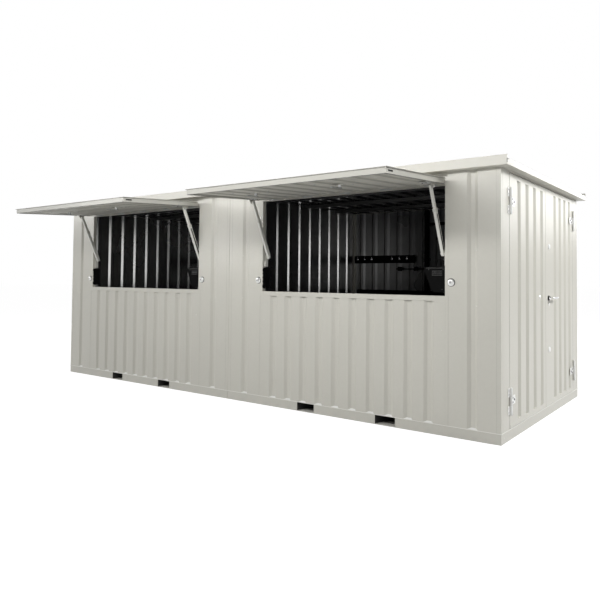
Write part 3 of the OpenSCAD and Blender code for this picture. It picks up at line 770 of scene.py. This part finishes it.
def hatch_latches(side, place, half, free):
    """Two latch plates with levers under a hatch, and the studs on and round them."""
    body = "hatch_" + side
    sheet = -RIM_HALF + 0.001
    seat = sheet - 0.004
    v = free * 0.62
    plates = Piece(place)
    studs = Piece(place)
    levers = Piece(place)
    for u in (-half * 0.52, half * 0.37):
        plates.block((u - 0.05, v - 0.022, seat), (u + 0.05, v + 0.022, sheet + SINK))
        for a in (-0.04, 0.04):
            studs.rivet((u + a, v, seat), -Z, 0.006)
        for a, b in ((0.1, 0.05), (-0.16, -0.13), (0.19, -0.05)):
            studs.rivet((u + a, v + b, sheet), -Z, 0.008)
        levers.turned((u, v, seat), -Z, LATCH_PIN)
        levers.prism([(u + a, v + b) for a, b in LEVER], "z", sheet - 0.033, sheet - 0.024)
    plates.done("hatch_latch_plates_" + side, "hatch", body)
    studs.done("hatch_studs_" + side, "zinc", body, 0)
    levers.done("hatch_latch_levers_" + side, "zinc", body, 0.0012)


def hatch_rib_beads(side, place, half, free):
    """Narrow beads along one edge of each rib on a hatch's underside, in a lighter paint that is a painted
    highlight.
    """
    rim_width = 0.06
    sheet = points_in("hatch_sheet_" + side, place)
    deepest = min(point.z for point in sheet)
    edges = clusters([point.x for point in sheet if point.z < deepest + 0.0006], 0.002)
    beads = Piece(place)
    for x in edges[::2]:
        if abs(x) < half - rim_width:
            section = [(x + a, deepest + b) for a, b in RIB_BEAD]
            beads.prism(section, "y", free + 0.035, -0.05)
    beads.done("hatch_rib_beads_" + side, "lip", "hatch_" + side, 0)


def hatch_slot_shades(side, place, half, free):
    """Near-black fillings of the slots in a rim's sides, near its free edge: painted shade in the slots."""
    slots = Piece(place)
    for hand in BOTH:
        slots.block((hand * (half - 0.0118), free + 0.0306, -0.0066),
                    (hand * (half - 0.0035), free + 0.0994, 0.0066))
        for v in (free + 0.0315, free + 0.0905):
            slots.block((hand * (half - 0.004), v, -0.006), (hand * (half - 0.001), v + 0.008, 0.006))
    slots.done("hatch_slot_shades_" + side, "hole", "hatch_" + side, 0.0004)


def stay_feet(side, place, half, _):
    """Bolted plates under a hatch that carry the lugs of its stays."""
    inset = 0.036
    bottom = -RIM_HALF - 0.0032
    lugs = [point.y for point in points_in("hatch_frame_" + side, place) if point.z < -RIM_HALF - 0.012]
    lug_y = (min(lugs) + max(lugs)) / 2
    near = half - inset
    plates = Piece(place)
    bolts = Piece(place)
    for hand in BOTH:
        outline = ((hand * (near - 0.085), lug_y - 0.075), (hand * (near - 0.085), lug_y + 0.02),
                   (hand * near, lug_y + 0.055), (hand * near, lug_y - 0.11))
        plates.prism(outline, "z", bottom, -RIM_HALF + 0.001)
        for a, b in ((0.066, -0.055), (0.066, 0.005), (0.018, -0.085), (0.018, 0.03)):
            bolts.hex_bolt((hand * (near - a), lug_y + b, bottom), -Z, 0.0055)
    plates.done("stay_feet_" + side, "hinge", "hatch_" + side, 0.0005)
    bolts.done("stay_foot_bolts_" + side, "bolt", "hatch_" + side, 0.0003)


def hinge_screws():
    """Screws in the fixed leaves of the hatch hinges."""
    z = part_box("hatch_hinges")[1].z - 0.007
    leaf_face = front_y - 0.003
    screws = Piece()
    for x in clusters([v.co.x for v in NODES["hatch_hinges"].data.vertices], 0.1):
        for shift in (-0.045, 0, 0.045):
            screws.rivet((x + shift, leaf_face, z), -Y, 0.0042)
    screws.done("hatch_hinge_screws", "zinc", bevel=0)


# ---- stays ----

TUBE_WIDTH = 0.026
EYE_FROM_TIP = 0.0159       # from a rod's upper end down to its eye


def tube_frame(side):
    """Frame of a hatch's stays, a tube's distance from their middle, half its depth, and its top."""
    place = stay_place(side)
    tube = corner_in("stay_tubes_" + side, place)
    return place, tube.x - TUBE_WIDTH / 2, tube.y, tube.z


def stay_tube_details(side):
    """Long near-black slots on the stay tubes' outer faces, painted shade as thin plates, and the collars
    round their upper ends.
    """
    place, stay_x, depth, top = tube_frame(side)
    slots = Piece(place)
    collars = Piece(place)
    inner_w = TUBE_WIDTH / 2 - 0.0025
    inner_d = depth - 0.0025
    outer_w = TUBE_WIDTH / 2 + 0.0022
    outer_d = depth + 0.0022
    low = top - 0.022
    high = top + 0.003
    tip = depth * 0.2
    edge = depth * 0.4
    slot = ((-tip, 0.03), (tip, 0.03), (edge, 0.045), (edge, top * 0.86), (tip, top * 0.9),
            (-tip, top * 0.9), (-edge, top * 0.86), (-edge, 0.045))
    for hand in BOTH:
        x = hand * stay_x
        face = x + hand * TUBE_WIDTH / 2
        slots.prism(slot, "x", face - hand * 0.0004, face + hand * 0.0005)
        for way in BOTH:
            collars.block((x - outer_w, way * inner_d, low), (x + outer_w, way * outer_d, high))
            collars.block((x + way * inner_w, -inner_d, low), (x + way * outer_w, inner_d, high))
        collars.rivet((x, -outer_d, top - 0.01), -Y, 0.0045)
    slots.done("stay_slots_" + side, "hole", "tubes_" + side, 0)
    collars.done("stay_collars_" + side, "trim", "tubes_" + side)


def stay_ends(side):
    """Washers on the rods' eyes, heads on the lower pins and nuts on the hatch's lug bolts."""
    place, stay_x, _, _ = tube_frame(side)
    rod = corner_in("stay_rods_" + side, place)
    eye_z = rod.z - EYE_FROM_TIP
    washers = Piece(place)
    for hand in BOTH:
        for face in BOTH:
            at = (hand * stay_x + face * (rod.x - stay_x), 0, eye_z)
            washers.turned(at, (face, 0, 0), ROD_WASHER, 24)
    washers.done("stay_rod_washers_" + side, "bright", "rods_" + side, 0)

    pin = pivot("stays_%s_swing" % side)
    heads = Piece()
    for hand in BOTH:
        x = MODULE_X[side] + hand * (stay_x - TUBE_WIDTH / 2 - 0.006)
        heads.hex_bolt((x, pin.y, pin.z), (-hand, 0, 0), 0.0065, 1.4)
    heads.done("stay_pin_heads_" + side, "bright", bevel=0.0003)

    hatch, half, _ = hatch_frame(side)
    eye = hatch.inverted() @ (place @ Vector((0, 0, eye_z)))
    nuts = Piece(hatch)
    for hand in BOTH:
        nuts.hex_bolt((hand * (half - 0.026), eye.y, eye.z), (hand, 0, 0), 0.007, 1.3)
    nuts.done("stay_lug_nuts_" + side, "bright", "hatch_" + side, 0.0003)


# ---- roof ----

roof_lo, roof_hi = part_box("roof_right")


def top_at(node, x, y):
    """Where a line straight down meets a roof."""
    _, place, _, _ = NODES[node].ray_cast(Vector((x, y, roof_hi.z + 0.5)), -Z)
    return place


def roof_screws():
    """Rows of screws with washers, on whatever height the roof sheets have there."""
    per_side = 15
    rows = 5
    screws = Piece()
    for node, side in (("roof_left", -1), ("roof_right", 1)):
        for i in range(per_side):
            x = side * (roof_lo.x + (roof_hi.x - roof_lo.x) * (i + 0.5) / per_side)
            for j in range(rows):
                y = roof_lo.y + (roof_hi.y - roof_lo.y) * (j + 0.35) / (rows - 0.3)
                at = top_at(node, x, y)
                screws.turned(at, Z, ROOF_WASHER, 16)
                screws.turned(at + Z * ROOF_WASHER[-1][0], Z, ROOF_SCREW, 6)
    screws.done("roof_screws", "zinc", bevel=0)


def roof_joint_cap():
    """A riveted cap over the joint between the two roofs."""
    sheet = 0.003
    base = top_at("roof_right", 0.02, 0).z
    crown = roof_hi.z + 0.006
    foot = base + sheet
    outer = ((-0.055, base), (-0.055, foot), (-0.03, foot), (-0.022, crown))
    inner = ((0.028, base), (0.0205, crown - 0.0025))
    outline = [*outer, *((-x, z) for x, z in reversed(outer)), *inner, *((-x, z) for x, z in reversed(inner))]
    cap = Piece()
    cap.prism(outline, "y", roof_lo.y + 0.002, roof_hi.y - 0.002)
    for k in range(-3, 4):
        for x in (-0.044, 0.044):
            cap.rivet((x, 0.35 * k, foot), Z, 0.005)
    cap.done("roof_joint_cap", "roof", bevel=0.0008)


def fascia_joint_plates():
    """Riveted plates over the joints between the modules' fascias, front and rear."""
    thick = 0.0022
    front_lo, front_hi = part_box("front_fascia_right")
    rear_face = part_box("rear_fascia")[1].y
    low = front_lo.z + 0.004
    high = front_hi.z - 0.004
    plates = Piece()
    for y, out in ((front_lo.y, -1), (rear_face, 1)):
        plates.block((-0.03, y, low), (0.03, y + out * thick, high))
        for x in (-0.018, 0.018):
            for z in (low + 0.016, high - 0.016):
                plates.rivet((x, y + out * thick, z), (0, out, 0), 0.0042)
    plates.done("fascia_joint_plates", "wall", bevel=0.0008)


def fascia_corner_clips():
    """Small clips over the roof's corners, with a tongue that runs back along the end."""
    proud = 0.0012
    lo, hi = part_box("end_flanges")
    top = hi.z - 0.004
    clips = Piece()
    for x, out_x in ((lo.x, -1), (hi.x, 1)):
        for y, out_y in ((lo.y, -1), (hi.y, 1)):
            corner = (x + out_x * proud, y + out_y * proud)
            clips.block((*corner, hi.z - 0.038), (x - out_x * 0.006, y - out_y * 0.002, top))
            clips.block((*corner, hi.z - 0.012), (x - out_x * 0.002, y - out_y * 0.03, top))
    clips.done("fascia_corner_clips", "edge", bevel=0.0004)


# ---- door ----

hinge_lo, hinge_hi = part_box("door_hinges")
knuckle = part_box("hinge_straps_front")[0].z - hinge_lo.z        # height of one of a hinge's three knuckles
hinge_bottoms = (hinge_lo.z, hinge_hi.z - knuckle * 3 + 0.003)
plate_x = end_x + 0.004                                         # outer face of the hinge plates
LEAVES = {"door_front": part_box("door_leaf_front"), "door_rear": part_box("door_leaf_rear")}
leaf_lo, leaf_hi = LEAVES["door_front"]
handle_lo, handle_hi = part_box("handle_plate")
handle_y = (handle_lo.y + handle_hi.y) / 2
handle_z = (handle_lo.z + handle_hi.z) / 2


def hinge_rivets():
    """Rivets in the hinges' fixed plates, and rounded heads on both ends of their pins."""
    pin_x = pivot("door_front_swing").x
    rivets = Piece()
    heads = Piece()
    for bottom in hinge_bottoms:
        for hand in BOTH:
            y = hand * (door_half + 0.031)
            for share in (0.28, 0.72, 2.3, 2.74):
                rivets.rivet((plate_x, y, bottom + knuckle * share), X, 0.0058)
            for z, up in ((bottom, -1), (bottom + knuckle * 3 - 0.003, 1)):
                heads.turned((pin_x, hand * door_half, z), (0, 0, up), PIN_HEAD)
    rivets.done("hinge_rivets", "zinc", bevel=0)
    heads.done("hinge_pin_heads", "hinge", bevel=0.0003)


def strap_details(body, hand):
    """Three bolts on each hinge strap of a leaf, and the strap's pointed tip."""
    bolts = Piece()
    tips = Piece()
    for bottom in hinge_bottoms:
        for inset, share in ((0.06, 0.24), (0.06, 0.76), (0.104, 0.5)):
            at = (plate_x, hand * (door_half - inset), bottom + knuckle * (1 + share))
            bolts.turned(at, X, STRAP_BOLT, 18)
        outline = [(hand * (door_half - inset), bottom + knuckle * share)
                   for inset, share in ((0.126, 1.3), (0.142, 1.4), (0.142, 1.6), (0.126, 1.7))]
        tips.prism(outline, "x", end_x + 0.0002, plate_x)
    bolts.done("strap_bolts_" + body, "bolt", body, 0)
    tips.done("strap_tips_" + body, "hinge", body)


def door_sweep(body):
    """A riveted strip along the foot of a leaf."""
    lo, hi = LEAVES[body]
    rivets = 6
    from_side = 0.07
    back = end_x - 0.001
    low = lo.z - 0.0045
    section = ((back, low), (end_x + 0.002, low), (end_x + 0.0022, lo.z + 0.02),
               (end_x + 0.0012, lo.z + 0.026), (back, lo.z + 0.026))
    strip = Piece()
    strip.prism(section, "y", lo.y + 0.004, hi.y - 0.004)
    for i in range(rivets):
        y = lo.y + from_side + (hi.y - lo.y - from_side * 2) * i / (rivets - 1)
        strip.rivet((end_x + 0.0019, y, lo.z + 0.012), X, 0.0035)
    strip.done("door_sweep_" + body, "wall", body, 0.0004)


def door_gap_shades():
    """Near-black strips on the jambs that fill the gap at each leaf's hinge edge: painted shade of the gap.
    """
    into_jamb = 0.0004
    low = leaf_lo.z + 0.004
    high = leaf_hi.z - 0.004
    seals = Piece()
    for hand in BOTH:
        for back, front, reach in ((0.034, 0.0012, 0.004), (0.036, 0.031, 0.0046)):
            seals.block((end_x - back, hand * (door_half + into_jamb), low),
                        (end_x - front, hand * (door_half - reach), high))
    seals.done("door_gap_shades", "hole", bevel=0.0004)


def meeting_trim():
    """Strips on the rear leaf that cover the line where the leaves meet, outside and inside."""
    lo, hi = LEAVES["door_rear"]
    trim = Piece()
    trim.block((end_x - 0.003, lo.y - 0.0055, lo.z), (end_x + 0.0006, lo.y + 0.004, hi.z))
    trim.block((end_x - 0.037, lo.y - 0.0035, lo.z), (end_x - 0.03, lo.y + 0.001, hi.z))
    trim.done("meeting_trim", "wall", "door_rear", 0.0004)


def door_fittings():
    """Round studs and the lock on the rear leaf, and the bolt's knob on the front leaf."""
    studs = Piece()
    for shift in (-0.5, 0.5):
        studs.turned((end_x, handle_y + 0.02, handle_z + shift), X, DOOR_STUD, 28)
    studs.done("door_studs", "white", "door_rear", 0.0004)

    lock = Piece()
    lock.turned((end_x, handle_y, handle_z - 0.062), X, LOCK_CYLINDER, 24)
    lock.turned((end_x, handle_y + 0.062, handle_z + 0.012), X, PLATE_SCREW, 16)
    lock.done("door_lock_cylinder", "chrome", "door_rear", 0.0003)

    knob_y = -0.195
    half = 0.004
    knob = Piece()
    knob.turned((end_x, knob_y, handle_z + 0.018), X, BOLT_KNOB)
    knob.block((end_x - SINK, knob_y - half, handle_z - 0.012),
               (end_x + 0.003, knob_y + half, handle_z + 0.006))
    knob.done("door_bolt_knob", "chrome", "door_front", 0.0003)


def lever_collar():
    """Neck, boss and rounded tip of the lever handle."""
    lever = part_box("door_handle")[1]
    parts = Piece()
    parts.turned((handle_hi.x - 0.001, handle_y, handle_z), X, LEVER_NECK, 28)
    parts.turned((lever.x - 0.013, handle_y, handle_z), X, LEVER_BOSS, 28)
    parts.turned((lever.x - 0.006, lever.y - 0.004, handle_z), Y, LEVER_TIP)
    parts.done("lever_collar", "chrome", "handle", 0.0004)


def shoot_bolts():
    """Two long bolts with their guides and grips on the inside of the front leaf."""
    radius = 0.007
    lower_end = 0.95
    upper_end = 1.35
    inside = leaf_lo.x
    y = leaf_hi.y - 0.06
    bolts = Piece()
    for low, high in ((leaf_lo.z + 0.02, lower_end), (upper_end, leaf_hi.z - 0.02)):
        bolts.turned((inside - 0.012, y, low), Z, ((0, radius), (high - low, radius)), 16)
        for share in (0.12, 0.5, 0.88):
            z = low + (high - low) * share
            bolts.block((inside - 0.021, y - 0.016, z - 0.012), (inside + SINK, y + 0.016, z + 0.012))
    for low, high in ((lower_end - 0.01, lower_end + 0.05), (upper_end - 0.05, upper_end + 0.01)):
        bolts.block((inside - 0.024, y - 0.01, low), (inside - 0.006, y + 0.01, high))
    bolts.done("door_shoot_bolts", "zinc", "door_front", 0.0008)


# ---- inside ----

def hook_tips():
    """A ball on each coat hook, and a small horn that points up and away from the wall."""
    lo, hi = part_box("hook_rails")
    z = (lo.z + hi.z) / 2
    ends = [v.co.x for v in NODES["hook_rails"].data.vertices if v.co.y - lo.y < 0.0005]
    tips = Piece()
    for x in clusters(ends, 0.03):
        tips.turned((x, lo.y + 0.001, z), -Y, HOOK_BALL)
        tips.turned((x, lo.y + 0.006, z - 0.001), (0, -0.5, 0.86), HOOK_HORN, 12)
    tips.done("hook_tips", "chrome", bevel=0)


def rear_wall_frames():
    """Dark posts, boards and rails on the inside of the rear walls."""
    back = rear_y - 0.0215
    touch = back - 0.002
    deep = 0.03
    first_post = -0.356
    board_half = 1.43
    bar_z = floor_z + 1.345
    head_z = floor_z + 1.93
    frames = Piece()
    for module_x in MODULE_X.values():
        for shift in (first_post, 0.75):
            x = module_x + shift
            for half, depth in ((0.02, deep), (0.035, 0.006)):
                frames.block((x - half, back - depth, floor_z), (x + half, back, roof_z - 0.002))
        x = module_x + first_post
        frames.block((x + 0.02, back - deep * 0.8, head_z - 0.018), (x + 0.45, touch, head_z + 0.018))
        frames.block((module_x - board_half, back - deep, floor_z + 0.88),
                     (module_x + board_half, touch, floor_z + 1.06))
        frames.block((x - 0.45, back - deep * 0.6, bar_z - 0.008), (x + 0.9, touch, bar_z + 0.008))
        for i in range(6):
            left = x - 0.42 + 0.24 * i
            frames.block((left, back - deep, bar_z - 0.025), (left + 0.05, touch, bar_z + 0.03))
    frames.done("rear_wall_frames", "black", bevel=0.0015)


def ceiling_bearers():
    """Flanged bearers along the modules, under the roof sheets."""
    half_length = 1.44
    top = roof_z - 0.001
    bearers = Piece()
    for module_x in MODULE_X.values():
        for y in (-0.62, 0.02, 0.66):
            for half, drop in ((0.02, 0.036), (0.035, 0.006)):
                bearers.block((module_x - half_length, y - half, roof_z - drop),
                              (module_x + half_length, y + half, top))
    bearers.done("ceiling_bearers", "joist", bevel=0.0015)


# ---- the whole bar ----

dress_cad()
for make in (wall_rivets, sheet_seams, base_bolts, rail_lips, groove_toes, pocket_light_pools, hinge_screws,
             roof_screws, roof_joint_cap, fascia_joint_plates, fascia_corner_clips, hinge_rivets):
    make()
for body, hand in (("door_front", -1), ("door_rear", 1)):
    strap_details(body, hand)
for body in LEAVES:
    door_sweep(body)
for make in (door_gap_shades, meeting_trim, door_fittings, lever_collar, shoot_bolts, hook_tips,
             rear_wall_frames, ceiling_bearers):
    make()
for side in MODULE_X:
    for make in (knob_details, lock_box_ribs, catch_teeth):
        make(side)
    for make in (hatch_lip, hatch_seal, hatch_latches, hatch_rib_beads, hatch_slot_shades, stay_feet):
        make(side, *hatch_frame(side))
    for make in (stay_tube_details, stay_ends):
        make(side)


# ---- camera ----

def aim(location, yaw, pitch, roll):
    """Camera matrix from a place and three angles in degrees, with yaw to the left of +y."""
    yaw, pitch, roll = (math.radians(angle) for angle in (yaw, pitch, roll))
    right = Vector((math.cos(yaw), math.sin(yaw), 0))
    ahead = Vector((-math.sin(yaw) * math.cos(pitch), math.cos(yaw) * math.cos(pitch), math.sin(pitch)))
    up = right.cross(ahead)
    side = right * math.cos(roll) + up * math.sin(roll)
    top = up * math.cos(roll) - right * math.sin(roll)
    matrix = Matrix((side, top, -ahead)).transposed().to_4x4()
    matrix.translation = location
    return matrix


lens = bpy.data.cameras.new("camera")
lens.sensor_width = 36
lens.lens = 35.59
lens.shift_x = -0.07
lens.shift_y = -0.07
lens.clip_end = 200
camera = add_object("camera", lens)
camera.matrix_world = aim((4.685, -5.807, 1.314), yaw=34.86, pitch=1.89, roll=0.43)
bpy.context.scene.camera = camera


# ---- floor, backdrop and light ----

FLOOR_SIZE = 160
FLOOR_GAP = 0.001
FLOOR_WHITE = 0.86          # what the object's shadow falls on
FLOOR_BOUNCE = 0.5          # what throws light back up
FLOOR_GLOW = 1.29
GLOW_SHARE = 0.74
WORLD_SEEN = 1.0
WORLD_LIGHT = 0.17


def seen_directly(near):
    """One for camera, glossy and transmission rays."""
    path = add_node(near, "LightPath").outputs
    either = calculate("MAXIMUM", path["Is Camera Ray"], path["Is Glossy Ray"])
    return calculate("MAXIMUM", either, path["Is Transmission Ray"])


def mixed_shaders(factor, first, second):
    node = add_node(first, "MixShader", Fac=factor)
    feed(node.inputs[1], first)
    feed(node.inputs[2], second)
    return node.outputs["Shader"]


def white_floor():
    """Looks white where it is seen, keeps the soft shadow, and throws less light back up."""
    mat, lit, out = new_material("floor_white")
    set_inputs(lit, Base_Color=grey(FLOOR_WHITE), Roughness=0.9, Specular_IOR_Level=0.0)
    bounce = add_node(lit, "BsdfDiffuse", Color=grey(FLOOR_BOUNCE)).outputs["BSDF"]
    glow = add_node(lit, "Emission", Color=grey(1.0), Strength=FLOOR_GLOW).outputs["Emission"]
    soft = mixed_shaders(GLOW_SHARE, lit.outputs["BSDF"], glow)
    set_inputs(out, Surface=mixed_shaders(seen_directly(lit), bounce, soft))
    return mat


def make_floor():
    half = FLOOR_SIZE / 2
    z = cad_lo.z - FLOOR_GAP
    mesh = bpy.data.meshes.new("floor")
    corners = [(x * half, y * half, z) for x, y in ((-1, -1), (1, -1), (1, 1), (-1, 1))]
    mesh.from_pydata(corners, [], [(0, 1, 2, 3)])
    mesh.materials.append(white_floor())
    return add_object("floor", mesh)


def make_world():
    """White to the camera, and a low even light on the object."""
    world = bpy.data.worlds.new("world")
    bpy.context.scene.world = world
    path = first_node(world, "LightPath")
    shades = [add_node(path, "Background", Color=grey(1.0), Strength=strength).outputs["Background"]
              for strength in (WORLD_LIGHT, WORLD_SEEN)]
    add_node(path, "OutputWorld", Surface=mixed_shaders(path.outputs["Is Camera Ray"], *shades))


def lamp(name, location, target, size, power, height=None, spread=180):
    """An area lamp of size by height metres, aimed at a target, with its spread in degrees."""
    data = bpy.data.lights.new(name, "AREA")
    data.energy = power
    data.shape = "RECTANGLE"
    data.size = size
    data.size_y = height or size
    data.spread = math.radians(spread)
    obj = add_object(name, data)
    obj.location = location
    obj.rotation_euler = (Vector(target) - Vector(location)).to_track_quat("-Z", "Y").to_euler()


floor = make_floor()
make_world()
lamp("key_front", (-7, -11, 3.8), (0, -1.2, 1.2), 5, 60)
lamp("left_side", (-8.5, -6, 3.6), (-1.5, -1.2, 1.3), 4, 185, 1.5)
lamp("strip_left", (-4.5, -4.4, 3), (-2.5, -1.2, 1.6), 5, 26, 0.4)
lamp("strip_right", (1.6, -4.4, 3), (1.6, -1.2, 1.6), 5, 92, 0.4)
lamp("middle_beam", (-3.2, -4.8, 1.5), (0.02, -1.2, 2.06), 0.5, 0.45, 0.3, 19)
lamp("end_light", (9.2, 1.3, 6.2), (3.03, 0, 1.2), 2.5, 500)
lamp("end_top", (5.2, 0.8, 3.1), (3.03, 0.1, 2.1), 2.2, 20, 0.5)
lamp("end_sheen", (5.9, 8.5, 3.8), (3.03, 0, 1.6), 3, 125, 2.6)
lamp("rear_fill", (-4, 11, 4.8), (0, 1.2, 1.3), 5, 340)
lamp("left_fill", (-10.5, 2.5, 4), (-3, 0, 1.3), 3, 200)
lamp("window_sheen", (7.2, -8.2, 2), (0, 0.2, 1.6), 7, 60, 2.4)

bpy.context.scene.view_settings.view_transform = "Standard"
